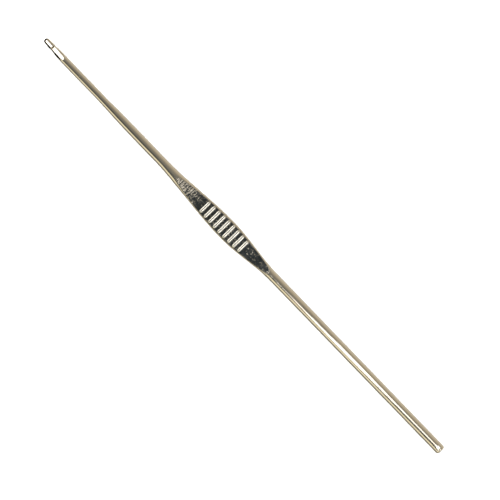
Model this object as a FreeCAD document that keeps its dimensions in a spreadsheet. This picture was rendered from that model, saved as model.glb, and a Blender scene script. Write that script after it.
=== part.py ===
"""Steel crochet hook, 1.75 mm gauge: one rod of nickel-plated steel, swaged, cut and pressed.

The rod lies along X. +X points to the hook's tip, and +Z out of the face of the thumb rest
that carries the raised bars, which is also the side on which the mouth opens. The origin is on
the rod's axis, halfway along it. A station is a distance from the tip, measured along the rod.
All sizes are in millimetres.

The hook is made from one piece of wire, so its sub-parts are the stretches of that wire which
a user has names for. Each is a closed solid, and meets its neighbours face to face.
"""

import FreeCAD, Part
import os

import Sketcher
from FreeCAD import Placement, Rotation, Vector

SHEET = "Dimensions"
DIMENSIONS = {
    "overall_length": 130.0,
    # the rod's round stretches
    "shaft_diameter": 1.75,
    "neck_diameter": 2.2,
    "handle_diameter": 2.3,
    "shaft_start": 6.5,
    "taper_start": 18.5,
    "taper_end": 30.5,
    "taper_inner_run": 2.25,
    "end_start": 128.0,
    "end_round": 0.45,
    # the head: a round nose, a bill that slopes down to it, and the mouth behind its lip
    "nose_radius": 0.64,
    "bill_slope": 8.0,
    "bill_height": 0.66,
    "bill_station": 2.8,
    "root_station": 2.55,
    "root_height": 0.12,
    "root_radius": 0.2,
    "lip_lean": 27.0,
    "ramp_slope": 14.3,
    "mouth_clear": 1.2,
    # the thumb rest: rod spread sideways between two dies
    "rest_start": 37.5,
    "rest_peak": 60.2,
    "rest_end": 75.0,
    "rest_width": 4.75,
    "rest_thickness": 0.95,
    "face_start": 43.2,
    "flat_start": 54.5,
    "flat_end": 68.0,
    "face_end": 73.9,
    "die_clear": 1.5,
    # the raised bars on its upper face
    "bar_start": 52.8,
    "bar_pitch": 1.55,
    "bar_width": 0.7,
    "bar_height": 0.18,
    "bar_margin": 0.5,
    "bar_edge_round": 0.07,
}
BARS = 9
REST_SECTIONS = 12  # sections on each side of the thumb rest's widest point
SAME = 1e-6  # two coordinates this close are the same


def make_sheet(doc):
    """The spreadsheet that holds the driving dimensions, one alias a row."""
    sheet = doc.addObject("Spreadsheet::Sheet", SHEET)
    for row, (alias, value) in enumerate(DIMENSIONS.items(), start=1):
        sheet.set(f"A{row}", alias)
        sheet.set(f"B{row}", repr(value))
        sheet.setAlias(f"B{row}", alias)
    doc.recompute()
    return sheet


def cell(alias):
    """The expression that reads one dimension."""
    return f"{SHEET}.{alias}"


def at(station):
    """The expression for the X of a station, given as an alias or a longer expression."""
    place = cell(station) if station in DIMENSIONS else f"({station})"
    return f"{cell('overall_length')} / 2 - {place}"


def value(doc, expression):
    """What an expression in the sheet's cells comes to, as a plain number."""
    return float(doc.getObject(SHEET).evalExpression(expression))


def new_body(doc, label):
    body = doc.addObject("PartDesign::Body", label)
    body.Label = label
    return body


def new_sketch(body, plane, name):
    """A sketch on one of the body's own origin planes."""
    sketch = body.newObject("Sketcher::SketchObject", name)
    origin = next(f for f in body.Origin.OriginFeatures if f.Role == plane)
    sketch.AttachmentSupport = [(origin, "")]
    sketch.MapMode = "FlatFace"
    return sketch


def hold(sketch, geometry, point, across=None, up=None):
    """Holds a sketch point at expressions for its coordinates. With no up, it is on the axis."""
    doc = sketch.Document
    if across is not None:
        index = sketch.addConstraint(
            Sketcher.Constraint("DistanceX", -1, 1, geometry, point, value(doc, across))
        )
        sketch.setExpression(f"Constraints[{index}]", across)
    if up is not None:
        index = sketch.addConstraint(
            Sketcher.Constraint("DistanceY", -1, 1, geometry, point, value(doc, up))
        )
        sketch.setExpression(f"Constraints[{index}]", up)
    else:
        sketch.addConstraint(Sketcher.Constraint("PointOnObject", geometry, point, -1))


def line(sketch, start, end):
    return sketch.addGeometry(Part.LineSegment(Vector(*start, 0), Vector(*end, 0)))


def arc(sketch, start, end, radius, bulge_up):
    """An arc from start to end. Its middle is above its chord if bulge_up, and below if not."""
    a, b = Vector(*start, 0), Vector(*end, 0)
    chord = b - a
    normal = Vector(-chord.y, chord.x, 0).normalize()
    if (normal.y > 0) != bulge_up:
        normal = -normal
    sagitta = radius - max(radius**2 - (chord.Length / 2) ** 2, 0) ** 0.5
    made = Part.Arc(a, (a + b) / 2 + normal * sagitta, b)
    return sketch.addGeometry(made)


def ends(sketch, geometry, first):
    """The numbers of a geometry's two end points, starting with the one nearer to first."""
    near = sketch.getPoint(geometry, 1).distanceToPoint(Vector(*first, 0))
    far = sketch.getPoint(geometry, 2).distanceToPoint(Vector(*first, 0))
    return (1, 2) if near < far else (2, 1)


def join(sketch, one, one_end, other, other_end):
    sketch.addConstraint(Sketcher.Constraint("Coincident", one, one_end, other, other_end))


def size_of(sketch, kind, geometry, expression):
    """A radius, diameter or angle bound to an expression."""
    number = value(sketch.Document, expression)
    if kind == "Angle":
        number = number * 3.141592653589793 / 180
        expression = f"({expression}) * 1 deg"
    index = sketch.addConstraint(Sketcher.Constraint(kind, geometry, number))
    sketch.setExpression(f"Constraints[{index}]", expression)


def edges_where(shape, wanted):
    """The names of the edges whose bounding box is wanted."""
    return [f"Edge{n}" for n, edge in enumerate(shape.Edges, start=1) if wanted(edge.BoundBox)]


def round_rod(doc, label, diameter, start, end):
    """A straight cylinder of the rod between two stations."""
    body = new_body(doc, label)
    sketch = new_sketch(body, "YZ_Plane", f"{label}_section")
    radius = value(doc, cell(diameter)) / 2
    circle = sketch.addGeometry(Part.Circle(Vector(), Vector(0, 0, 1), radius))
    sketch.addConstraint(Sketcher.Constraint("Coincident", circle, 3, -1, 1))
    size_of(sketch, "Diameter", circle, cell(diameter))
    sketch.setExpression("AttachmentOffset.Base.z", at(end))
    pad = body.newObject("PartDesign::Pad", f"{label}_pad")
    pad.Profile = sketch
    pad.setExpression("Length", f"{cell(end)} - {cell(start)}")
    sketch.Visibility = False
    doc.recompute()
    return body


def revolve(body, sketch, name):
    turned = body.newObject("PartDesign::Revolution", name)
    turned.Profile = sketch
    turned.ReferenceAxis = (sketch, ["H_Axis"])
    turned.Angle = 360.0
    return turned


def shaft_taper(doc):
    """The swell from the working shaft to the neck: a short hollow arc, then a long full one."""
    body = new_body(doc, "shaft_taper")
    sketch = new_sketch(body, "XY_Plane", "taper_outline")
    shaft, neck = f"{cell('shaft_diameter')} / 2", f"{cell('neck_diameter')} / 2"
    run = f"({cell('taper_end')} - {cell('taper_start')})"
    rise = f"({neck} - {shaft})"
    # two arcs that touch share the rise in the same proportion as they share the run
    turn_rise = f"{rise} * {cell('taper_inner_run')} / {run}"
    turn_station = f"{cell('taper_start')} + {cell('taper_inner_run')}"
    outer_run = f"({run} - {cell('taper_inner_run')})"
    inner_rise, outer_rise = f"({turn_rise})", f"({rise} - {turn_rise})"
    inner_radius = f"({cell('taper_inner_run')}^2 + {inner_rise}^2) / (2 * {inner_rise})"
    outer_radius = f"({outer_run}^2 + {outer_rise}^2) / (2 * {outer_rise})"
    top = (value(doc, at("taper_start")), value(doc, shaft))
    turn = (value(doc, at(turn_station)), value(doc, f"{shaft} + {turn_rise}"))
    low = (value(doc, at("taper_end")), value(doc, neck))
    inner = arc(sketch, top, turn, value(doc, inner_radius), bulge_up=False)
    outer = arc(sketch, turn, low, value(doc, outer_radius), bulge_up=True)
    neck_end = line(sketch, low, (low[0], 0))
    axis = line(sketch, (low[0], 0), (top[0], 0))
    shaft_end = line(sketch, (top[0], 0), top)
    inner_top, inner_turn = ends(sketch, inner, top)
    outer_turn, outer_low = ends(sketch, outer, turn)
    join(sketch, inner, inner_turn, outer, outer_turn)
    join(sketch, outer, outer_low, neck_end, 1)
    join(sketch, neck_end, 2, axis, 1)
    join(sketch, axis, 2, shaft_end, 1)
    join(sketch, shaft_end, 2, inner, inner_top)
    hold(sketch, inner, inner_top, at("taper_start"), shaft)
    hold(sketch, inner, inner_turn, at(turn_station), f"{shaft} + {turn_rise}")
    hold(sketch, outer, outer_low, at("taper_end"), neck)
    hold(sketch, axis, 1, at("taper_end"))
    hold(sketch, axis, 2, at("taper_start"))
    size_of(sketch, "Radius", inner, inner_radius)
    size_of(sketch, "Radius", outer, outer_radius)
    revolve(body, sketch, "taper_turned")
    doc.recompute()
    return body


def mouth_sketch(body, doc):
    """The mouth seen from the side: the lip's undercut face, the round root and the long ramp."""
    sketch = new_sketch(body, "XZ_Plane", "mouth_profile")
    root_x, root_z = value(doc, at("root_station")), value(doc, cell("root_height"))
    radius, clear = value(doc, cell("root_radius")), value(doc, cell("mouth_clear"))
    lean = Rotation(Vector(0, 0, 1), value(doc, cell("lip_lean")))
    slope = Rotation(Vector(0, 0, 1), -value(doc, cell("ramp_slope")))
    centre = Vector(root_x, root_z, 0)
    lip_foot = centre + lean.multVec(Vector(radius, 0, 0))
    ramp_foot = centre + slope.multVec(Vector(0, -radius, 0))
    lip_along, ramp_along = lean.multVec(Vector(0, 1, 0)), slope.multVec(Vector(-1, 0, 0))
    lip_top = lip_foot + lip_along * ((clear - lip_foot.y) / lip_along.y)
    ramp_top = ramp_foot + ramp_along * ((clear - ramp_foot.y) / ramp_along.y)
    middle = centre + (lip_foot + ramp_foot - centre * 2).normalize() * radius
    root = sketch.addGeometry(Part.Arc(lip_foot, middle, ramp_foot))
    lip = line(sketch, (lip_foot.x, lip_foot.y), (lip_top.x, lip_top.y))
    ramp = line(sketch, (ramp_foot.x, ramp_foot.y), (ramp_top.x, ramp_top.y))
    lid = line(sketch, (lip_top.x, clear), (ramp_top.x, clear))
    root_lip, root_ramp = ends(sketch, root, (lip_foot.x, lip_foot.y))
    sketch.addConstraint(Sketcher.Constraint("Tangent", root, root_lip, lip, 1))
    sketch.addConstraint(Sketcher.Constraint("Tangent", root, root_ramp, ramp, 1))
    join(sketch, lip, 2, lid, 1)
    join(sketch, ramp, 2, lid, 2)
    sketch.addConstraint(Sketcher.Constraint("Horizontal", lid))
    hold(sketch, root, 3, at("root_station"), cell("root_height"))
    hold(sketch, lid, 1, None, cell("mouth_clear"))
    size_of(sketch, "Radius", root, cell("root_radius"))
    size_of(sketch, "Angle", lip, f"90 + {cell('lip_lean')}")
    size_of(sketch, "Angle", ramp, f"180 - {cell('ramp_slope')}")
    return sketch


def bill_sketch(body, doc):
    """The wedge that is taken off the top of the nose, so that the bill slopes down to the tip."""
    sketch = new_sketch(body, "XZ_Plane", "bill_profile")
    back_x, back_z = value(doc, at("bill_station")), value(doc, cell("bill_height"))
    front_x, clear = value(doc, f"{cell('overall_length')} / 2"), value(doc, cell("mouth_clear"))
    drop = Rotation(Vector(0, 0, 1), -value(doc, cell("bill_slope"))).multVec(Vector(1, 0, 0))
    front_z = back_z + drop.y * (front_x - back_x) / drop.x
    corners = [(back_x, back_z), (front_x, front_z), (front_x, clear), (back_x, clear)]
    sides = [line(sketch, corners[i], corners[(i + 1) % 4]) for i in range(4)]
    for i in range(4):
        join(sketch, sides[i], 2, sides[(i + 1) % 4], 1)
    sketch.addConstraint(Sketcher.Constraint("Vertical", sides[1]))
    sketch.addConstraint(Sketcher.Constraint("Horizontal", sides[2]))
    sketch.addConstraint(Sketcher.Constraint("Vertical", sides[3]))
    hold(sketch, sides[0], 1, at("bill_station"), cell("bill_height"))
    hold(sketch, sides[2], 1, f"{cell('overall_length')} / 2", cell("mouth_clear"))
    size_of(sketch, "Angle", sides[0], f"-{cell('bill_slope')}")
    return sketch


def cut_through(body, sketch, name):
    """A pocket that goes right through the body, to both sides of its sketch."""
    before = body.Shape.Volume
    pocket = body.newObject("PartDesign::Pocket", name)
    pocket.Profile = sketch
    pocket.Type = "ThroughAll"
    pocket.Midplane = True
    body.Document.recompute()
    if body.Shape.Volume > before - 0.01:
        raise RuntimeError(f"{name} cut nothing")
    return pocket


def head_blank(doc):
    """The whole head, from the nose to the start of the shaft, with its mouth cut."""
    body = new_body(doc, "head_blank")
    sketch = new_sketch(body, "XY_Plane", "head_outline")
    radius, nose = value(doc, f"{cell('shaft_diameter')} / 2"), value(doc, cell("nose_radius"))
    tip, back = value(doc, f"{cell('overall_length')} / 2"), value(doc, at("shaft_start"))
    dome = arc(sketch, (tip, 0), (tip - nose, nose), nose, bulge_up=True)
    flank = line(sketch, (tip - nose, nose), (back, radius))
    back_end = line(sketch, (back, radius), (back, 0))
    axis = line(sketch, (back, 0), (tip, 0))
    dome_tip, dome_side = ends(sketch, dome, (tip, 0))
    sketch.addConstraint(Sketcher.Constraint("Tangent", dome, dome_side, flank, 1))
    join(sketch, flank, 2, back_end, 1)
    join(sketch, back_end, 2, axis, 1)
    join(sketch, axis, 2, dome, dome_tip)
    sketch.addConstraint(Sketcher.Constraint("PointOnObject", dome, 3, -1))
    hold(sketch, dome, dome_tip, f"{cell('overall_length')} / 2")
    hold(sketch, flank, 2, at("shaft_start"), f"{cell('shaft_diameter')} / 2")
    hold(sketch, axis, 1, at("shaft_start"))
    size_of(sketch, "Radius", dome, cell("nose_radius"))
    revolve(body, sketch, "head_turned")
    doc.recompute()
    cut_through(body, bill_sketch(body, doc), "bill_cut")
    cut_through(body, mouth_sketch(body, doc), "mouth_cut")
    return body


def split_head(doc, blank):
    """The blank split below the mouth's root into the head, with its lip, and the throat."""
    front = doc.addObject("Part::Box", "head_side")
    lip = doc.addObject("Part::Box", "lip_side")
    reach = f"{cell('shaft_diameter')}"
    for box, low, end_station, start_station in (
        (front, f"-{reach}", "root_station", "-1"),
        (lip, cell("root_height"), f"{cell('bill_station')} + {cell('root_radius')}", "root_station"),
    ):
        start = cell(start_station) if start_station in DIMENSIONS else start_station
        end = cell(end_station) if end_station in DIMENSIONS else end_station
        box.setExpression("Length", f"{end} - {start}")
        box.setExpression("Width", f"2 * {reach}")
        box.setExpression("Height", f"{reach} - ({low})")
        box.setExpression("Placement.Base.x", at(end_station))
        box.setExpression("Placement.Base.y", f"-{reach}")
        box.setExpression("Placement.Base.z", low)
    region = doc.addObject("Part::Fuse", "head_region")
    region.Base, region.Tool = front, lip
    head = doc.addObject("Part::Common", "head")
    head.Base, head.Tool = blank, region
    throat = doc.addObject("Part::Cut", "throat")
    throat.Base, throat.Tool = blank, region
    doc.recompute()
    return head, throat


def rest_half_width(station):
    """The thumb rest's half width at a station, as an expression: a half wave up and one down."""
    wide = f"{cell('rest_width')} / 2"
    neck, handle = f"{cell('neck_diameter')} / 2", f"{cell('handle_diameter')} / 2"
    front = f"(({station}) - {cell('rest_start')}) / ({cell('rest_peak')} - {cell('rest_start')})"
    back = f"({cell('rest_end')} - ({station})) / ({cell('rest_end')} - {cell('rest_peak')})"
    rising = f"{neck} + ({wide} - {neck}) * (1 - cos(180 deg * {front})) / 2"
    falling = f"{handle} + ({wide} - {handle}) * (1 - cos(180 deg * {back})) / 2"
    return f"(({station}) < {cell('rest_peak')} ? {rising} : {falling})"


def spread_rod(doc):
    """The rod as it spreads sideways under the dies: oval sections, as high as the rod is thick."""
    sections = []
    for i in range(2 * REST_SECTIONS + 1):
        share = f"{i} / {REST_SECTIONS}"
        if i <= REST_SECTIONS:
            run = f"({cell('rest_peak')} - {cell('rest_start')})"
            station = f"{cell('rest_start')} + {run} * {share}"
        else:
            run = f"({cell('rest_end')} - {cell('rest_peak')})"
            station = f"{cell('rest_peak')} + {run} * ({share} - 1)"
        along = f"(({station}) - {cell('rest_start')}) / ({cell('rest_end')} - {cell('rest_start')})"
        neck, handle = f"{cell('neck_diameter')} / 2", f"{cell('handle_diameter')} / 2"
        oval = doc.addObject("Part::Ellipse", f"rest_oval_{i:02d}")
        oval.Placement = Placement(Vector(), Rotation(Vector(1, 1, 1), 120))
        oval.setExpression("MajorRadius", rest_half_width(station))
        oval.setExpression("MinorRadius", f"{neck} + ({handle} - {neck}) * {along}")
        oval.setExpression("Placement.Base.x", at(station))
        sections.append(oval)
    loft = doc.addObject("Part::Loft", "spread_rod")
    loft.Sections = sections
    loft.Solid = True
    loft.Ruled = False
    doc.recompute()
    return loft


def die_sketch(body, doc):
    """The upper die from the side: down in a long arc, then flat, then up in a short arc."""
    sketch = new_sketch(body, "XZ_Plane", "die_profile")
    flat = f"{cell('rest_thickness')} / 2"
    clear = cell("die_clear")

    def ramp_radius(run, radius_there):
        rise = f"({radius_there} - {flat})"
        return f"(({run})^2 + {rise}^2) / (2 * {rise})"

    front_run = f"{cell('flat_start')} - {cell('face_start')}"
    back_run = f"{cell('face_end')} - {cell('flat_end')}"
    front_radius = ramp_radius(front_run, f"{cell('neck_diameter')} / 2")
    back_radius = ramp_radius(back_run, f"{cell('handle_diameter')} / 2")
    # each arc goes on past the rod's surface to the height of the die's back
    front_reach = f"sqrt(({front_radius})^2 - ({front_radius} - ({clear} - {flat}))^2)"
    back_reach = f"sqrt(({back_radius})^2 - ({back_radius} - ({clear} - {flat}))^2)"
    front_station = f"{cell('flat_start')} - {front_reach}"
    back_station = f"{cell('flat_end')} + {back_reach}"
    height, lid = value(doc, flat), value(doc, clear)
    a = (value(doc, at(front_station)), lid)
    b = (value(doc, at("flat_start")), height)
    c = (value(doc, at("flat_end")), height)
    d = (value(doc, at(back_station)), lid)
    front = arc(sketch, a, b, value(doc, front_radius), bulge_up=False)
    level = line(sketch, b, c)
    back = arc(sketch, c, d, value(doc, back_radius), bulge_up=False)
    top = line(sketch, d, a)
    front_a, front_b = ends(sketch, front, a)
    back_c, back_d = ends(sketch, back, c)
    join(sketch, front, front_b, level, 1)
    join(sketch, level, 2, back, back_c)
    join(sketch, back, back_d, top, 1)
    join(sketch, top, 2, front, front_a)
    hold(sketch, front, front_a, at(front_station), clear)
    hold(sketch, level, 1, at("flat_start"), flat)
    hold(sketch, level, 2, at("flat_end"), flat)
    hold(sketch, back, back_d, at(back_station), clear)
    size_of(sketch, "Radius", front, front_radius)
    size_of(sketch, "Radius", back, back_radius)
    return sketch


def thumb_rest(doc):
    """The flattened leaf that the thumb holds: the spread rod with both die faces pressed in."""
    spread = spread_rod(doc)
    body = new_body(doc, "thumb_rest")
    body.BaseFeature = spread
    doc.recompute()
    upper = cut_through(body, die_sketch(body, doc), "upper_die")
    before = body.Shape.Volume
    lower = body.newObject("PartDesign::Mirrored", "lower_die")
    lower.Originals = [upper]
    plane = next(f for f in body.Origin.OriginFeatures if f.Role == "XY_Plane")
    lower.MirrorPlane = (plane, [""])
    body.Tip = lower
    doc.recompute()
    if body.Shape.Volume > before - 1:
        raise RuntimeError("the lower die cut nothing")
    return body


def grip_bars(doc, rest):
    """Raised bars across the upper face, each as long as the leaf is wide there, less a margin."""
    bars = []
    for i in range(BARS):
        station = f"{cell('bar_start')} + {cell('bar_pitch')} * {i}"
        half = f"({rest_half_width(station)} - {cell('bar_margin')})"
        body = new_body(doc, f"bar_blank_{i + 1}")
        sketch = new_sketch(body, "XY_Plane", f"bar_outline_{i + 1}")
        x, radius = value(doc, at(station)), value(doc, f"{cell('bar_width')} / 2")
        reach = value(doc, half) - radius
        top = arc(sketch, (x + radius, reach), (x - radius, reach), radius, bulge_up=True)
        left = line(sketch, (x - radius, reach), (x - radius, -reach))
        bottom = arc(sketch, (x - radius, -reach), (x + radius, -reach), radius, bulge_up=False)
        right = line(sketch, (x + radius, -reach), (x + radius, reach))
        loop = [top, left, bottom, right]
        corners = [(x - radius, reach), (x - radius, -reach), (x + radius, -reach), (x + radius, reach)]
        for one, other, corner in zip(loop, loop[1:] + loop[:1], corners):
            one_end, other_end = ends(sketch, one, corner)[0], ends(sketch, other, corner)[0]
            sketch.addConstraint(Sketcher.Constraint("Tangent", one, one_end, other, other_end))
        hold(sketch, top, 3, at(station), f"{half} - {cell('bar_width')} / 2")
        hold(sketch, bottom, 3, at(station), f"-({half} - {cell('bar_width')} / 2)")
        size_of(sketch, "Radius", top, f"{cell('bar_width')} / 2")
        pad = body.newObject("PartDesign::Pad", f"bar_pad_{i + 1}")
        pad.Profile = sketch
        pad.setExpression("Length", f"{cell('rest_thickness')} / 2 + {cell('bar_height')}")
        doc.recompute()
        height = pad.Shape.BoundBox.ZMax
        rim = edges_where(pad.Shape, lambda box: box.ZMin > height - SAME)
        rounded = body.newObject("PartDesign::Fillet", f"bar_round_{i + 1}")
        rounded.Base = (pad, rim)
        rounded.setExpression("Radius", cell("bar_edge_round"))
        doc.recompute()
        bar = doc.addObject("Part::Cut", f"bar_{i + 1}")
        bar.Base, bar.Tool = body, rest
        bars.append(bar)
    group = doc.addObject("Part::Compound", "grip_bars")
    group.Links = bars
    doc.recompute()
    return group


def handle_end(doc):
    """The last stretch of the handle, with its sawn end tumbled round."""
    body = round_rod(doc, "handle_end", "handle_diameter", "end_start", "overall_length")
    pad = body.Tip
    low = pad.Shape.BoundBox.XMin
    rim = edges_where(pad.Shape, lambda box: box.XMax < low + SAME)
    rounded = body.newObject("PartDesign::Fillet", "end_round")
    rounded.Base = (pad, rim)
    rounded.setExpression("Radius", cell("end_round"))
    doc.recompute()
    return body


def check(doc, parts):
    """Stops the build if any object failed to recompute, or any sub-part isn't a valid solid."""
    for made in doc.Objects:
        if {"Invalid", "Error"} & set(made.State):
            raise RuntimeError(f"{made.Label} did not recompute: {made.State}")
    for part in parts:
        shape = part.Shape
        if shape.isNull() or not shape.isValid() or not shape.Solids:
            raise RuntimeError(f"{part.Label} is not a valid solid")


def main():
    doc = FreeCAD.newDocument("crochet_hook")
    make_sheet(doc)
    head, throat = split_head(doc, head_blank(doc))
    rest = thumb_rest(doc)
    parts = [
        head,
        throat,
        round_rod(doc, "shaft", "shaft_diameter", "shaft_start", "taper_start"),
        shaft_taper(doc),
        round_rod(doc, "neck", "neck_diameter", "taper_end", "rest_start"),
        rest,
        grip_bars(doc, rest),
        round_rod(doc, "handle", "handle_diameter", "rest_end", "end_start"),
        handle_end(doc),
    ]
    doc.recompute()
    check(doc, parts)
    os.makedirs("parts", exist_ok=True)
    for part in parts:
        part.Shape.exportStep(f"parts/{part.Label}.step")
        box = part.Shape.BoundBox
        print(
            f"{part.Label}: {len(part.Shape.Solids)} solid(s), {part.Shape.Volume:.3f} mm3, "
            f"x {box.XMin:.2f} to {box.XMax:.2f}, y {box.YMin:.2f} to {box.YMax:.2f}, "
            f"z {box.ZMin:.2f} to {box.ZMax:.2f}"
        )


main()
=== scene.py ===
"""Looks of the crochet hook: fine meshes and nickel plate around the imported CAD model.

The hook lies along X with its tip at +X and its barred face up. Shapes are worked out in
millimetres, from the frame's own boxes, and are scaled to metres when a mesh is made.
"""

import math

import bmesh
import bpy
import numpy as np
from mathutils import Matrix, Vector, noise


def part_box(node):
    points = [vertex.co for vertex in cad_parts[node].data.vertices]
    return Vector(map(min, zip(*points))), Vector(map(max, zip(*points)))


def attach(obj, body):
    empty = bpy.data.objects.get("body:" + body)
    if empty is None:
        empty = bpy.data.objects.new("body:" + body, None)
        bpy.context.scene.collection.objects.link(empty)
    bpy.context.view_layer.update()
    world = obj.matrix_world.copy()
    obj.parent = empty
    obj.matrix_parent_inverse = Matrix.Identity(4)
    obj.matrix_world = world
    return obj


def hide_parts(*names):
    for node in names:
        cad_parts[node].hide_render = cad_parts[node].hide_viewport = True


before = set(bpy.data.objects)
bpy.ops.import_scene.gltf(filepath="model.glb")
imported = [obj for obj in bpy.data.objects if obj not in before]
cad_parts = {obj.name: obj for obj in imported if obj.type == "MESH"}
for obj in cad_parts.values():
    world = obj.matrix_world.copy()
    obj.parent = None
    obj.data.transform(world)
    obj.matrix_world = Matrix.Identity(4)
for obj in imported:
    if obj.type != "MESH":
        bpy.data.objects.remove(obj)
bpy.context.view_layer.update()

MM = 0.001
AROUND = 144  # points in a ring of the round stretches


# ---------------------------------------------------------------- sizes, from the frame


def span(node):
    """A node's (back, front) in X, in mm."""
    low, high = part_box(node)
    return low.x / MM, high.x / MM


def half_width(node):
    low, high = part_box(node)
    return max(high.y, -low.y) / MM


TIP = span("head")[1]
THROAT_BACK = span("throat")[0]
SHAFT_RADIUS = half_width("shaft")
NECK_RADIUS = half_width("neck")
HANDLE_RADIUS = half_width("handle")
REST_BACK, REST_FRONT = span("thumb_rest")
REST_HALF_WIDTH = half_width("thumb_rest")
FLOOR_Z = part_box("handle")[0].z


# ---------------------------------------------------------------- small helpers


def smoothstep(low, high, value):
    share = np.clip((value - low) / (high - low), 0.0, 1.0)
    return share * share * (3 - 2 * share)


def smooth_max(a, b, k):
    """The larger of two distances, with the edge between them rounded over a width of k."""
    blend = np.clip(k - np.abs(a - b), 0.0, None) / k
    return np.maximum(a, b) + blend * blend * k / 4


def fractal(points, size, seed, octaves=3):
    """Soft noise of about -1 to 1 at points in mm, with features of that size."""
    shift = Vector((seed * 7.31, seed * 3.17, seed * 5.77))
    found = [noise.fractal(Vector(p) / size + shift, 0.6, 2.1, octaves) for p in points]
    return np.array(found)


SHAFT_LEAN = -0.1  # how far the shaft has been bent sideways, and the nose further still
NOSE_LEAN = -0.12
REST_LEAN = 0.11  # how far the dies squeezed the leaf off centre


def lean(x):
    """How far to the side of its axis the real hook wanders at x, in mm.

    The shaft's bend starts just ahead of the leaf and is complete well before the throat. The
    nose's own bend starts there, and the leaf's comes and goes along the leaf.
    """
    shaft = SHAFT_LEAN * smoothstep(REST_FRONT + 4.0, THROAT_BACK - 8.0, x)
    nose = NOSE_LEAN * smoothstep(THROAT_BACK - 1.0, TIP, x)
    rest = smoothstep(REST_BACK, REST_BACK + 12.0, x) * smoothstep(REST_FRONT, REST_FRONT - 8.0, x)
    return shaft + nose + REST_LEAN * rest


def mesh_object(name, vertices, faces, sharp_angle=40.0):
    """A smooth-shaded object from vertices in mm."""
    vertices = np.array(vertices, float)
    vertices[:, 1] += lean(vertices[:, 0])
    mesh = bpy.data.meshes.new(name)
    mesh.from_pydata((vertices * MM).tolist(), [], faces)
    mesh.validate()
    mesh.polygons.foreach_set("use_smooth", [True] * len(mesh.polygons))
    mesh.set_sharp_from_angle(angle=math.radians(sharp_angle))
    made = bpy.data.objects.new(name, mesh)
    bpy.context.scene.collection.objects.link(made)
    return made


def ring_faces(rings, around):
    """Quads between successive rings of points, and a flat cap at each end."""
    faces = []
    for i in range(rings - 1):
        for j in range(around):
            k = (j + 1) % around
            a, b = i * around, (i + 1) * around
            faces.append((a + j, b + j, b + k, a + k))
    last = (rings - 1) * around
    faces.append(tuple(range(around)))
    faces.append(tuple(last + j for j in reversed(range(around))))
    return faces


def dress(piece, material, *nodes):
    """Puts a finished piece in place of the CAD nodes it stands for."""
    piece.data.materials.clear()
    piece.data.materials.append(material)
    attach(piece, "root")
    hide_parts(*nodes)


# ---------------------------------------------------------------- the round stretches

DENT_DEPTH = 0.01
DENT_SIZE = 2.6
DENT_STRETCH = np.array([0.55, 1.0, 1.0])  # dents are longer along the hook than round it
ROD_STEP = 0.5
TAPER_STEP = 0.25


def dents(points, seed=3):
    """How far tumbling has pushed each point in or out, in mm."""
    stretched = np.asarray(points) * DENT_STRETCH
    return DENT_DEPTH * fractal(stretched, DENT_SIZE, seed, octaves=2)


def lathe(name, profile, sharp_angle=40.0):
    """A round solid from (x, radius) pairs that run from back to front."""
    profile = np.asarray(profile, float)
    turn = np.linspace(0, 2 * math.pi, AROUND, endpoint=False)
    x = np.repeat(profile[:, 0], AROUND)
    radial = np.stack([np.zeros_like(turn), np.cos(turn), np.sin(turn)], 1)
    radial = np.tile(radial, (len(profile), 1))
    radius = np.repeat(profile[:, 1], AROUND)
    points = radial * radius[:, None] + np.stack([x, 0 * x, 0 * x], 1)
    points += radial * dents(points)[:, None]
    return mesh_object(name, points, ring_faces(len(profile), AROUND), sharp_angle)


def stations(back, front, step):
    return np.linspace(back, front, max(2, int(round((front - back) / step)) + 1))


def straight(name, node, radius, material):
    back, front = span(node)
    profile = [(x, radius) for x in stations(back, front, ROD_STEP)]
    dress(lathe(name, profile), material, node)


TAPER_INNER_SHARE = 0.1875  # share of the taper's length that its hollow arc takes


def taper_radius(share):
    """The taper's radius, from 0 at the shaft to 1 at the neck: two parabolas that touch."""
    turn = TAPER_INNER_SHARE
    hollow = share * share / turn
    full = 1 - (1 - share) ** 2 / (1 - turn)
    return SHAFT_RADIUS + (NECK_RADIUS - SHAFT_RADIUS) * np.where(share < turn, hollow, full)


def make_taper(material):
    back, front = span("shaft_taper")
    x = stations(back, front, TAPER_STEP)
    profile = np.stack([x, taper_radius((front - x) / (front - back))], 1)
    dress(lathe("taper_steel", profile), material, "shaft_taper")


# ---------------------------------------------------------------- the handle's sawn end

END_ROUND = 0.45
END_DOME = 0.04
END_STEP = 0.03
PINCH_START, PINCH_STOP = 1.6, 0.42  # a flat that a tool left on top, from the very end
PINCH_DEPTH = 0.1
PINCH_STEP = 0.34
PINCH_EDGE = 0.08


def end_profile(back, front):
    """From the middle of the end face, round its edge, and along to the handle."""
    face = HANDLE_RADIUS - END_ROUND
    out = [(back + END_DOME * (r / face) ** 2, r) for r in np.linspace(0.02, face, 10)]
    quarter = np.linspace(0, math.pi / 2, 13)[1:]
    centre = back + END_DOME + END_ROUND
    out += [(centre - END_ROUND * math.cos(a), face + END_ROUND * math.sin(a)) for a in quarter]
    out += [(x, HANDLE_RADIUS) for x in stations(centre, front, END_STEP)[1:]]
    return out


def make_handle_end(material):
    back, front = span("handle_end")
    piece = lathe("handle_end_steel", end_profile(back, front), sharp_angle=50)
    inner, outer = back + PINCH_START, back + PINCH_STOP
    for vertex in piece.data.vertices:
        x, z = vertex.co.x / MM, vertex.co.z / MM
        inside = smoothstep(inner, inner - PINCH_STEP, x) * smoothstep(outer, outer + PINCH_STEP, x)
        level = HANDLE_RADIUS - PINCH_DEPTH * float(inside)
        if z > 0:
            vertex.co.z = -float(smooth_max(-z, -level, PINCH_EDGE)) * MM
    dress(piece, material, "handle_end")


# ---------------------------------------------------------------- the head and throat

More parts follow.
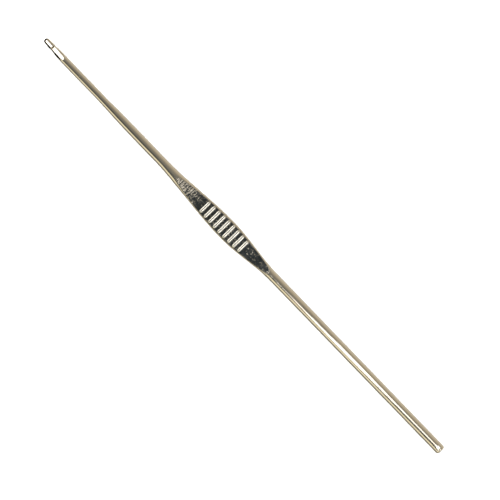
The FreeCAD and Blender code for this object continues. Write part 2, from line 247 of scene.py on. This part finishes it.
NOSE_RADIUS = 0.64
BLANK_POWER = 1.5  # how long the blank stays full before it narrows to the nose
BILL_SLOPE = math.radians(8.0)
BILL_BACK = 2.8
BILL_HEIGHT = 0.66
ROOT_BACK = 2.55
ROOT_HEIGHT = 0.12
ROOT_RADIUS = 0.2
LIP_LEAN = math.radians(27.0)
RAMP_SLOPE = math.radians(14.3)
BILL_EDGE = 0.42
LIP_EDGE = 0.08
RAMP_EDGE = 0.5
EDGE_BEFORE, EDGE_AFTER = 0.1, 0.25  # about the root, where the lip's edge turns to the ramp's
RAMP_FADE = 4.4  # how far behind the tip the ramp's edges start to sharpen again
SHARP_EDGE = 0.02
RAMP_ROLL = math.radians(4.0)  # the cutter that made the ramp stood a little askew
NET_STEP = 0.032
NET_PULLS = 12  # times that the net's points are pulled onto the surface
NET_LEAST_SLOPE = 0.2
NET_MARGIN = 0.12


def blank_radius(behind):
    """Radius of the round blank, a distance behind the tip."""
    run = TIP - THROAT_BACK - NOSE_RADIUS
    share = np.clip((behind - NOSE_RADIUS) / run, 0.0, 1.0)
    return SHAFT_RADIUS - (SHAFT_RADIUS - NOSE_RADIUS) * (1 - share) ** BLANK_POWER


def head_distance(p):
    """Signed distance, in mm, from the head's surface: negative inside the steel."""
    x, y, z = p[:, 0], p[:, 1], p[:, 2]
    behind = TIP - x
    reach = np.sqrt(y * y + z * z)
    centre = TIP - NOSE_RADIUS
    nose = np.sqrt((x - centre) ** 2 + reach**2) - NOSE_RADIUS
    blank = np.where(x > centre, nose, reach - blank_radius(behind))
    bill_top = BILL_HEIGHT - math.tan(BILL_SLOPE) * (x - (TIP - BILL_BACK))
    bill = (z - bill_top) * math.cos(BILL_SLOPE)
    u, w = x - (TIP - ROOT_BACK), z - ROOT_HEIGHT
    lip = u * math.cos(LIP_LEAN) + w * math.sin(LIP_LEAN)
    up = w * math.cos(RAMP_ROLL) + y * math.sin(RAMP_ROLL)
    ramp = -u * math.sin(RAMP_SLOPE) - up * math.cos(RAMP_SLOPE)
    mouth = smooth_max(lip, ramp, 2 * ROOT_RADIUS) - ROOT_RADIUS
    steel = smooth_max(blank, bill, BILL_EDGE)
    past_root = smoothstep(ROOT_BACK - EDGE_BEFORE, ROOT_BACK + EDGE_AFTER, behind)
    edge = LIP_EDGE + (RAMP_EDGE - LIP_EDGE) * past_root
    edge *= 1 - smoothstep(RAMP_FADE, TIP - THROAT_BACK, behind)
    return smooth_max(steel, -mouth, edge + SHARP_EDGE)


def gradient(distance, p, step=1e-3):
    slopes = []
    for axis in range(3):
        shift = np.zeros(3)
        shift[axis] = step
        slopes.append((distance(p + shift) - distance(p - shift)) / (2 * step))
    return np.stack(slopes, 1)


def surface_net(distance, low, high, step):
    """A closed quad mesh of the surface where distance is zero, by the surface net method."""
    axes = [np.arange(a, b, step) for a, b in zip(low, high)]
    grid = np.stack(np.meshgrid(*axes, indexing="ij"), -1)
    inside = distance(grid.reshape(-1, 3)).reshape(grid.shape[:3]) < 0
    corners = np.zeros(tuple(n - 1 for n in inside.shape), int)
    for dx in (0, 1):
        for dy in (0, 1):
            for dz in (0, 1):
                nx, ny, nz = corners.shape
                corners += inside[dx : dx + nx, dy : dy + ny, dz : dz + nz]
    mixed = (corners > 0) & (corners < 8)
    number = -np.ones(mixed.shape, int)
    number[mixed] = np.arange(mixed.sum())
    points = np.argwhere(mixed) * step + np.array([a[0] for a in axes]) + step / 2
    faces = []
    for axis in range(3):
        one, two = (axis + 1) % 3, (axis + 2) % 3
        size = inside.shape[axis] - 1
        here = np.take(inside, range(size), axis)
        there = np.take(inside, range(1, size + 1), axis)
        for cell in np.argwhere(here != there):
            if cell[one] == 0 or cell[two] == 0:
                continue
            quad = [cell.copy() for _ in range(4)]
            quad[1][one] -= 1
            quad[2][one] -= 1
            quad[2][two] -= 1
            quad[3][two] -= 1
            loop = [int(number[tuple(q)]) for q in quad]
            faces.append(loop[::-1] if here[tuple(cell)] else loop)
    for _ in range(NET_PULLS):
        slope = gradient(distance, points)
        fall = distance(points) / np.maximum((slope**2).sum(1), NET_LEAST_SLOPE)
        points = points - slope * fall[:, None]
    return points, faces


def cut_flat(piece, x):
    """Cuts a piece off square at x, in mm, keeping what is in front, and closes the cut."""
    made = bmesh.new()
    made.from_mesh(piece.data)
    geometry = made.verts[:] + made.edges[:] + made.faces[:]
    cut = bmesh.ops.bisect_plane(
        made, geom=geometry, plane_co=(x * MM, 0, 0), plane_no=(1, 0, 0), clear_inner=True
    )
    rim = [e for e in cut["geom_cut"] if isinstance(e, bmesh.types.BMEdge)]
    bmesh.ops.holes_fill(made, edges=rim, sides=0)
    bmesh.ops.recalc_face_normals(made, faces=made.faces[:])
    made.to_mesh(piece.data)
    made.free()
    piece.data.set_sharp_from_angle(angle=math.radians(50))


def make_head(material):
    side = SHAFT_RADIUS + NET_MARGIN
    low = (THROAT_BACK - 2 * NET_MARGIN, -side, -side)
    high = (TIP + NET_MARGIN, side, side)
    points, faces = surface_net(head_distance, low, high, NET_STEP)
    piece = mesh_object("head_steel", points, faces, sharp_angle=80)
    cut_flat(piece, THROAT_BACK)
    dress(piece, material, "head", "throat")


# ---------------------------------------------------------------- the thumb rest

REST_THICKNESS = 0.95
REST_PEAK = 4.8  # x of the widest place
FACE_FRONT, FLAT_FRONT = 21.8, 10.5  # x where the upper die's long curve starts and ends
FLAT_BACK, FACE_BACK = -3.0, -8.9
FACE_EDGE = 0.12
FACE_TILT = 0.045  # how far out of level the dies closed
REST_AROUND = 220
REST_STEP = 0.09
RAY_CLEAR = 0.05  # how far above the die's face a search ray starts out
RAY_LIMIT = 1.6
HALVINGS = 36  # of the search along a ray, which finds the surface
PRESSED_FROM, PRESSED_TO = 0.03, 0.12  # depth below the round rod at which the face is pressed
END_FADE = 0.6  # the grain dies out this far from either end
GRAIN_DEPTH = 0.022
PIT_SIZE, RIPPLE_SIZE = 0.34, 0.3
RIPPLE_STRETCH = np.array([1.0, 0.35, 0.0])
WORN_AND_LIT_FROM, WORN_AND_LIT_TO = 0.3, 0.95  # height of the grain over which the dark colour fades out: tarnish rubbed off the high grain, and painted shade that stays only in the hollows
FRONT_PAINTED_HIGHLIGHT = 0.75  # added to that height towards the front, which paints the front of the face lighter: a painted highlight


def rest_half_width(x):
    front = (REST_FRONT - x) / (REST_FRONT - REST_PEAK)
    back = (x - REST_BACK) / (REST_PEAK - REST_BACK)
    rising = NECK_RADIUS + (REST_HALF_WIDTH - NECK_RADIUS) * (1 - np.cos(math.pi * front)) / 2
    falling = HANDLE_RADIUS + (REST_HALF_WIDTH - HANDLE_RADIUS) * (1 - np.cos(math.pi * back)) / 2
    return np.where(x > REST_PEAK, rising, falling)


def rod_half_height(x):
    share = (REST_FRONT - x) / (REST_FRONT - REST_BACK)
    return NECK_RADIUS + (HANDLE_RADIUS - NECK_RADIUS) * share


def die_height(x):
    """Height of the pressed face above the axis: two arcs, with a flat between them."""
    flat = REST_THICKNESS / 2

    def arc(run, rise, along):
        radius = (run * run + rise * rise) / (2 * rise)
        return radius - np.sqrt(np.maximum(radius**2 - along**2, 0.0))

    front = arc(FACE_FRONT - FLAT_FRONT, NECK_RADIUS - flat, np.maximum(x - FLAT_FRONT, 0.0))
    back = arc(FLAT_BACK - FACE_BACK, HANDLE_RADIUS - flat, np.maximum(FLAT_BACK - x, 0.0))
    return flat + front + back


def rest_distance(x, y, z):
    """Roughly the distance from the thumb rest's surface in a section at x."""
    wide, high = rest_half_width(x), rod_half_height(x)
    oval = (np.sqrt((y / wide) ** 2 + (z / high) ** 2) - 1) * np.minimum(wide, high)
    return smooth_max(oval, np.abs(z + FACE_TILT * y) - die_height(x), FACE_EDGE), oval


def grain(points):
    """Height of the pressed face's grain: pits all over, and ripples that grow to the front."""
    pits = fractal(points, PIT_SIZE, 11)
    across = fractal(points * RIPPLE_STRETCH, RIPPLE_SIZE, 5)
    front = smoothstep(FLAT_FRONT + 1.0, FLAT_FRONT + 6.0, points[:, 0])
    return pits * (1 - 0.5 * front) + across * (0.25 + 0.9 * front)


def make_thumb_rest(material):
    x = stations(REST_BACK, REST_FRONT, REST_STEP)
    turn = np.linspace(0, 2 * math.pi, REST_AROUND, endpoint=False)
    gx = np.repeat(x, REST_AROUND)
    gt = np.tile(turn, len(x))
    high = np.minimum(rod_half_height(gx), die_height(gx) + RAY_CLEAR)
    dy, dz = rest_half_width(gx) * np.cos(gt), high * np.sin(gt)
    near, far = np.zeros_like(gx), np.full_like(gx, RAY_LIMIT)
    for _ in range(HALVINGS):
        middle = (near + far) / 2
        outside = rest_distance(gx, dy * middle, dz * middle)[0] > 0
        far = np.where(outside, middle, far)
        near = np.where(outside, near, middle)
    points = np.stack([gx, dy * near, dz * near], 1)
    oval = rest_distance(gx, points[:, 1], points[:, 2])[1]
    pressed = smoothstep(PRESSED_FROM, PRESSED_TO, -oval)
    coarse = grain(points)
    rough = GRAIN_DEPTH * coarse * pressed
    ends = smoothstep(0.0, END_FADE, gx - REST_BACK) * smoothstep(0.0, END_FADE, REST_FRONT - gx)
    points[:, 2] += np.sign(points[:, 2]) * rough * ends
    radial = points * np.array([0.0, 1.0, 1.0])
    radial /= np.linalg.norm(radial, axis=1)[:, None]
    points += radial * (dents(points) * (1 - pressed))[:, None]
    piece = mesh_object("thumb_rest_steel", points, ring_faces(len(x), REST_AROUND), sharp_angle=75)
    # towards the front the face is painted lighter: a painted highlight
    front = smoothstep(FLAT_FRONT + 1.0, FACE_FRONT - 2.0, points[:, 0])
    worn_and_lit = smoothstep(WORN_AND_LIT_FROM, WORN_AND_LIT_TO, coarse + FRONT_PAINTED_HIGHLIGHT * front)
    # dark colour in the pressed face's hollows: partly tarnish, partly painted shade
    tarnish_and_shade = pressed * ends * (1 - worn_and_lit)
    for layer, value in (("pressed", pressed * ends), ("tarnish_and_shade", tarnish_and_shade)):
        shade = piece.data.attributes.new(layer, "FLOAT", "POINT")
        shade.data.foreach_set("value", value.astype(np.float32))
    dress(piece, material, "thumb_rest")


# ---------------------------------------------------------------- the raised bars

BARS = 9
BAR_WIDTH = 0.7
BAR_FOOT = 0.09  # how far the foot flares out
BAR_ROOTS = (0.09, 0.02)  # depths below the face at which the foot's own wall runs
BAR_MARGIN = 0.5
BAR_WALL = 0.08
BAR_INSET = BAR_WIDTH / 2 - 0.015
BAR_CORNER = 20
BAR_LAYERS = 15
LAYER_SPREAD = 1.5  # above 1, so that the layers crowd together at the shoulders
BAR_CROWN = 3  # how square the shoulders are: 2 would be a plain round back


def stadium(x, half, inset):
    """The outline of a bar, moved in from its edge by inset, as (x, y) points."""
    radius = BAR_WIDTH / 2 - inset
    reach = half - BAR_WIDTH / 2
    turn = np.linspace(0, math.pi, BAR_CORNER)
    top = [(x + radius * math.cos(a), reach + radius * math.sin(a)) for a in turn]
    return top + [(2 * x - px, -py) for px, py in top]


def make_bars(material):
    """Each bar is a stack of outlines that step in as they rise, from a flared foot to a crown."""
    low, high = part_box("grip_bars")
    first = high.x / MM - BAR_WIDTH / 2
    pitch = (first - (low.x / MM + BAR_WIDTH / 2)) / (BARS - 1)
    crown = high.z / MM
    foot = REST_THICKNESS / 2
    vertices, faces = [], []
    for i in range(BARS):
        x = first - pitch * i
        half = float(rest_half_width(np.float64(x))) - BAR_MARGIN
        wall = foot + BAR_WALL
        layers = [(-BAR_FOOT, foot - depth) for depth in BAR_ROOTS]
        layers += [(-BAR_FOOT * (1 - t) ** 2, foot + BAR_WALL * t) for t in (0.25, 0.5, 0.75)]
        reach = np.linspace(0.0, 1.0, BAR_LAYERS) ** LAYER_SPREAD
        rise = crown - wall
        layers += [(BAR_INSET * t, wall + rise * (1 - (1 - t) ** BAR_CROWN)) for t in reach]
        start = len(vertices)
        for inset, z in layers:
            vertices += [(px, py, z - FACE_TILT * py) for px, py in stadium(x, half, inset)]
        around = 2 * BAR_CORNER
        faces += [tuple(start + v for v in f) for f in ring_faces(len(layers), around)]
    piece = mesh_object("grip_bars_steel", vertices, faces, sharp_angle=60)
    dress(piece, material, "grip_bars")


# ---------------------------------------------------------------- materials

NICKEL = (0.68, 0.615, 0.5, 1)
# near-black colour of the pressed face, partly tarnish and partly painted shade
TARNISH_AND_SHADE = (0.033, 0.041, 0.045, 1)
# the bars' nickel, painted lighter than the rod's as a painted highlight
BAR_NICKEL_PAINTED_LIGHT = (0.84, 0.80, 0.71, 1)
PAPER = (0.86, 0.86, 0.86, 1)

# noise scales, in features a metre along each axis, and the depths of their bumps in metres
POLISH_LINES = (120, 9000, 9000)
PRESSED_LINES = (160, 7000, 7000)
PITS = (1400, 2600, 2600)
CLOUDS = (160, 420, 420)
SPECKS = (4800, 4800, 4800)
BAR_CLOUDS = (2000, 2000, 2000)
LINE_DEPTH = 2.5e-6
PIT_DEPTH = 6e-6
SPECK_DEPTH = 4e-5
BAR_DEPTH = 1.2e-5


def new_material(name):
    material = bpy.data.materials.new(name)
    material.use_nodes = True
    nodes = material.node_tree.nodes
    return material, nodes, material.node_tree.links, nodes["Principled BSDF"]


def stretched_noise(nodes, links, scale, detail=3.0):
    """Noise with a different scale, in features a metre, along each axis of the hook."""
    place = nodes.new("ShaderNodeTexCoord")
    mapping = nodes.new("ShaderNodeMapping")
    mapping.inputs["Scale"].default_value = scale
    texture = nodes.new("ShaderNodeTexNoise")
    texture.inputs["Scale"].default_value = 1.0
    texture.inputs["Detail"].default_value = detail
    links.new(place.outputs["Object"], mapping.inputs["Vector"])
    links.new(mapping.outputs["Vector"], texture.inputs["Vector"])
    return texture.outputs["Fac"]


def ranged(nodes, links, value, low, high, from_low=0.3, from_high=0.7):
    ranger = nodes.new("ShaderNodeMapRange")
    ranger.inputs["From Min"].default_value = from_low
    ranger.inputs["From Max"].default_value = from_high
    ranger.inputs["To Min"].default_value = low
    ranger.inputs["To Max"].default_value = high
    links.new(value, ranger.inputs["Value"])
    return ranger.outputs["Result"]


def bump(nodes, links, height, distance, below=None):
    node = nodes.new("ShaderNodeBump")
    node.inputs["Strength"].default_value = 1.0
    node.inputs["Distance"].default_value = distance
    links.new(height, node.inputs["Height"])
    if below is not None:
        links.new(below, node.inputs["Normal"])
    return node.outputs["Normal"]


def nickel_plate():
    """Tumbled nickel: fine lengthwise polishing lines, faint cloudy patches and small pits."""
    material, nodes, links, shader = new_material("nickel_plate")
    shader.inputs["Metallic"].default_value = 1.0
    shader.inputs["Base Color"].default_value = NICKEL
    lines = stretched_noise(nodes, links, POLISH_LINES)
    pits = stretched_noise(nodes, links, PITS, detail=2.0)
    clouds = stretched_noise(nodes, links, CLOUDS)
    links.new(ranged(nodes, links, clouds, 0.07, 0.16), shader.inputs["Roughness"])
    lined = bump(nodes, links, lines, LINE_DEPTH)
    links.new(bump(nodes, links, pits, PIT_DEPTH, lined), shader.inputs["Normal"])
    return material


def pressed_plate():
    """The thumb rest: polished on its rim and coarser where the dies pressed it. There it is
    painted darker, partly for tarnish and partly as painted shade, and lighter towards the front as
    a painted highlight.
    """
    material, nodes, links, shader = new_material("pressed_plate")
    shader.inputs["Metallic"].default_value = 1.0
    pressed = nodes.new("ShaderNodeAttribute")
    pressed.attribute_name = "pressed"
    tarnish_and_shade = nodes.new("ShaderNodeAttribute")
    tarnish_and_shade.attribute_name = "tarnish_and_shade"
    colour = nodes.new("ShaderNodeMix")
    colour.data_type = "RGBA"
    colour.inputs[6].default_value = NICKEL
    colour.inputs[7].default_value = TARNISH_AND_SHADE
    specks = stretched_noise(nodes, links, SPECKS, detail=2.0)
    darker = nodes.new("ShaderNodeMath")
    darker.operation = "MULTIPLY"
    links.new(tarnish_and_shade.outputs["Fac"], darker.inputs[0])
    links.new(ranged(nodes, links, specks, 1.0, 0.6, 0.56, 0.7), darker.inputs[1])
    links.new(darker.outputs["Value"], colour.inputs[0])
    links.new(colour.outputs[2], shader.inputs["Base Color"])
    rough = ranged(nodes, links, pressed.outputs["Fac"], 0.17, 0.27, 0.0, 1.0)
    links.new(rough, shader.inputs["Roughness"])
    lines = stretched_noise(nodes, links, PRESSED_LINES)
    rough_height = nodes.new("ShaderNodeMath")
    rough_height.operation = "MULTIPLY"
    links.new(specks, rough_height.inputs[0])
    links.new(pressed.outputs["Fac"], rough_height.inputs[1])
    lined = bump(nodes, links, lines, LINE_DEPTH)
    height = rough_height.outputs["Value"]
    links.new(bump(nodes, links, height, SPECK_DEPTH, lined), shader.inputs["Normal"])
    return material


def bar_plate():
    """The raised bars: painted brighter than the rod's nickel as a painted highlight, and a little
    uneven.
    """
    material, nodes, links, shader = new_material("bar_plate")
    shader.inputs["Metallic"].default_value = 1.0
    shader.inputs["Base Color"].default_value = BAR_NICKEL_PAINTED_LIGHT
    clouds = stretched_noise(nodes, links, BAR_CLOUDS)
    links.new(ranged(nodes, links, clouds, 0.16, 0.3), shader.inputs["Roughness"])
    links.new(bump(nodes, links, clouds, BAR_DEPTH), shader.inputs["Normal"])
    return material


def glow(name, radiance):
    """A plain white material that gives off light, or a black one at 0."""
    material = bpy.data.materials.new(name)
    material.use_nodes = True
    nodes = material.node_tree.nodes
    nodes.remove(nodes["Principled BSDF"])
    emission = nodes.new("ShaderNodeEmission")
    emission.inputs["Strength"].default_value = radiance
    material.node_tree.links.new(emission.outputs[0], nodes["Material Output"].inputs["Surface"])
    return material


# ---------------------------------------------------------------- floor, light and camera

TURN = math.radians(-134.0)  # the picture's right-hand direction, measured from +X
VIEW_HEIGHT = 0.6
VIEW_WIDTH = 0.11374  # width of floor that the picture takes in
AIM = (-0.00192, -0.00045)
BACKDROP_RADIUS = 1.0
FLOOR_SIZE = 12.0
KEY_HEIGHT, KEY_SIZE, KEY_RADIANCE = 1.2, 1.6, 5.0

# colours round the hook, at angles in degrees from straight up towards +Y
ROOM = (
    (-180, (0.60, 0.59, 0.56)),
    (-120, (0.82, 0.81, 0.76)),
    (-92, (0.72, 0.66, 0.55)),
    (-60, (0.58, 0.52, 0.43)),
    (-25, (0.30, 0.29, 0.26)),
    (2, (0.24, 0.24, 0.23)),
    (22, (0.13, 0.135, 0.135)),
    (42, (0.12, 0.125, 0.125)),
    (54, (0.22, 0.215, 0.19)),
    (63, (1.55, 1.48, 1.05)),
    (80, (1.25, 1.21, 1.02)),
    (92, (0.56, 0.54, 0.47)),
    (103, (0.22, 0.215, 0.2)),
    (180, (0.60, 0.59, 0.56)),
)

# outlines of the panes, as (x, y) in mm
OVER_HANDLE = (
    (-12, 55), (-18, 64), (-36, 138), (-47, 150), (-62, 42), (-80, 20), (-130, 30),
    (-130, -30), (-80, -20), (-62, -34), (-47, -62), (-40, -38), (-30, 20), (-22, 44),
)
BEYOND_TIP = ((140, -60), (140, 150), (400, 150), (400, -60))
BEHIND_END = ((-150, -60), (-150, 60), (-320, 60), (-320, -60))
ROUND_TIP = ((TIP - 4.5, 4.5), (TIP + 3, 5), (TIP + 5, 2), (TIP + 5, -2), (TIP + 3, -4))


def make_floor():
    """White paper under the hook. It is clear from below, so that the underside can be seen."""
    bpy.ops.mesh.primitive_plane_add(size=FLOOR_SIZE, location=(0, 0, FLOOR_Z))
    floor = bpy.context.object
    floor.name = "floor"
    material, nodes, links, shader = new_material("white_paper")
    shader.inputs["Base Color"].default_value = PAPER
    shader.inputs["Roughness"].default_value = 0.9
    shader.inputs["Specular IOR Level"].default_value = 0.0
    seen_from = nodes.new("ShaderNodeNewGeometry")
    clear = nodes.new("ShaderNodeBsdfTransparent")
    sides = nodes.new("ShaderNodeMixShader")
    links.new(seen_from.outputs["Backfacing"], sides.inputs["Fac"])
    links.new(shader.outputs["BSDF"], sides.inputs[1])
    links.new(clear.outputs["BSDF"], sides.inputs[2])
    links.new(sides.outputs["Shader"], nodes["Material Output"].inputs["Surface"])
    floor.data.materials.append(material)
    floor.visible_glossy = False


def make_backdrop():
    """A plain white dome round the studio, which only the camera sees."""
    bpy.ops.mesh.primitive_uv_sphere_add(segments=64, ring_count=32, radius=BACKDROP_RADIUS)
    dome = bpy.context.object
    dome.name = "backdrop"
    dome.data.materials.append(glow("backdrop", 1.0))
    dome.visible_diffuse = False
    dome.visible_glossy = False
    dome.visible_shadow = False
    dome.visible_transmission = False


def make_world():
    """Light that changes with the angle about the hook, dark overhead and bright towards +Y."""
    world = bpy.data.worlds.new("room")
    bpy.context.scene.world = world
    world.use_nodes = True
    nodes, links = world.node_tree.nodes, world.node_tree.links
    place = nodes.new("ShaderNodeTexCoord")
    split = nodes.new("ShaderNodeSeparateXYZ")
    links.new(place.outputs["Generated"], split.inputs[0])
    angle = nodes.new("ShaderNodeMath")
    angle.operation = "ARCTAN2"
    links.new(split.outputs["Y"], angle.inputs[0])
    links.new(split.outputs["Z"], angle.inputs[1])
    share = nodes.new("ShaderNodeMapRange")
    share.inputs["From Min"].default_value = -math.pi
    share.inputs["From Max"].default_value = math.pi
    links.new(angle.outputs[0], share.inputs["Value"])
    ramp = nodes.new("ShaderNodeValToRGB")
    links.new(share.outputs["Result"], ramp.inputs["Fac"])
    elements = ramp.color_ramp.elements
    while len(elements) < len(ROOM):
        elements.new(0.5)
    for element, (degrees, colour) in zip(elements, ROOM):
        element.position = (degrees + 180) / 360
        element.color = (*colour, 1)
    links.new(ramp.outputs["Color"], nodes["Background"].inputs["Color"])


def make_key():
    """One wide lamp above the hook, unseen in reflections. Its energy follows from its radiance."""
    lamp = bpy.data.lights.new("key", "AREA")
    lamp.shape = "RECTANGLE"
    lamp.size, lamp.size_y = KEY_SIZE, KEY_SIZE
    lamp.energy = KEY_RADIANCE * math.pi * KEY_SIZE * KEY_SIZE
    made = bpy.data.objects.new("key", lamp)
    made.location = (0, 0, KEY_HEIGHT)
    made.visible_camera = False
    made.visible_glossy = False
    bpy.context.scene.collection.objects.link(made)


def pane(name, points, faces, radiance):
    """A bright or black pane, in mm, that is seen only in reflections."""
    mesh = bpy.data.meshes.new(name)
    mesh.from_pydata([tuple(c * MM for c in p) for p in points], [], faces)
    made = bpy.data.objects.new(name, mesh)
    bpy.context.scene.collection.objects.link(made)
    mesh.materials.append(glow(name, radiance))
    made.visible_camera = False
    made.visible_diffuse = False
    made.visible_shadow = False


def window(name, corners, height, radiance):
    """A level pane whose corners are (x, y)."""
    points = [(x, y, height) for x, y in corners]
    pane(name, points, [tuple(range(len(corners)))], radiance)


def black_wall(name, path, bottom, top):
    """An upright strip that stands along a path of (x, y) points."""
    points = [(x, y, z) for x, y in path for z in (bottom, top)]
    faces = [(i, i + 1, i + 3, i + 2) for i in range(0, 2 * len(path) - 2, 2)]
    pane(name, points, faces, 0.0)


def make_lights():
    make_key()
    window("over_handle", OVER_HANDLE, 150, 2.5)
    window("beyond_tip", BEYOND_TIP, 300, 2.8)
    window("behind_end", BEHIND_END, 250, 2.6)
    black_wall("black_flag", ROUND_TIP, -10, 9)


def make_camera():
    camera = bpy.data.cameras.new("camera")
    camera.lens = camera.sensor_width * VIEW_HEIGHT / VIEW_WIDTH
    camera.clip_start = 0.01
    camera.clip_end = 50
    made = bpy.data.objects.new("camera", camera)
    made.location = (AIM[0], AIM[1], VIEW_HEIGHT)
    made.rotation_euler = (0, 0, TURN)
    bpy.context.scene.collection.objects.link(made)
    bpy.context.scene.camera = made


def main():
    make_camera()
    nickel = nickel_plate()
    make_head(nickel)
    straight("shaft_steel", "shaft", SHAFT_RADIUS, nickel)
    make_taper(nickel)
    straight("neck_steel", "neck", NECK_RADIUS, nickel)
    make_thumb_rest(pressed_plate())
    make_bars(bar_plate())
    straight("handle_steel", "handle", HANDLE_RADIUS, nickel)
    make_handle_end(nickel)
    make_floor()
    make_backdrop()
    make_world()
    make_lights()
    bpy.context.scene.view_settings.view_transform = "Standard"


main()
